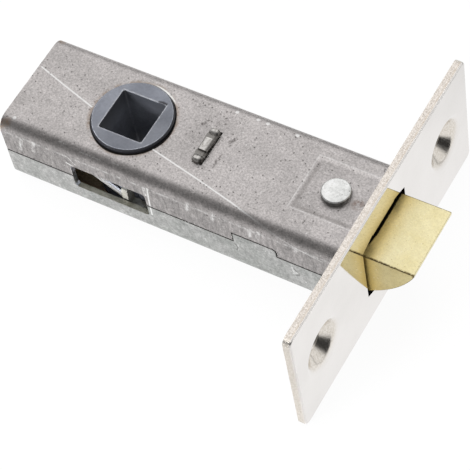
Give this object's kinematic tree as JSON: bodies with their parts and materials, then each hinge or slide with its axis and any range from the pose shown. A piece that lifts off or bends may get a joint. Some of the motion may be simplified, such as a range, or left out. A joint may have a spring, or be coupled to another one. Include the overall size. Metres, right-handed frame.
{
  "type": "tubular door latch",
  "caption": "Tubular door latch: a two-part pressed steel case with a bright faceplate, a bevelled brass bolt and a plastic hub with a square spindle hole.",
  "frame": {"origin": "middle of the faceplate's outer face, halfway between its two screw holes", "axes": "+X is the way the bolt throws, -X runs along the case; +Y is along the faceplate's long side; +Z is along the spindle hole"},
  "size_m": [0.0733, 0.057, 0.025],
  "materials": {
    "raw_steel": "bare rolled steel, finely pitted",
    "zinc_plate": "dull zinc plate",
    "bright_nickel": "polished nickel plate",
    "zinc_rivet": "dull zinc plate",
    "bright_steel": "bright zinc plate",
    "bolt_brass": "satin brass, lightly tarnished",
    "grey_plastic": "moulded, satin",
    "spring_wire": "drawn wire"
  },
  "bodies": {
    "case": {"case_upper": "raw_steel", "case_lower": "zinc_plate", "faceplate": "bright_nickel", "front_rivet_upper": "zinc_rivet", "front_rivet_lower": "zinc_rivet", "spring_abutment": "bright_steel", "bolt_spring": "spring_wire", "return_spring": "spring_wire"},
    "bolt": {"latch_bolt": "bolt_brass", "tail_plate": "bright_steel"},
    "follower": {"hub": "grey_plastic"}
  },
  "joints": [
    {"name": "bolt_slide", "type": "slide", "parent": "case", "child": "bolt", "axis": [1, 0, 0], "range_m": [-0.0083, 0], "stiffness_N_per_m": 600, "springref_m": 0.01, "deforming": ["bolt_spring", "return_spring"]},
    {"name": "hub_turn", "type": "hinge", "parent": "case", "child": "follower", "pos_m": [-0.045, 0, 0], "axis": [0, 0, 1], "range_deg": [-68.23, 0]}
  ],
  "couplings": [
    {"joint": "hub_turn", "follows": "bolt_slide", "rad_per_m": 143.46}
  ]
}
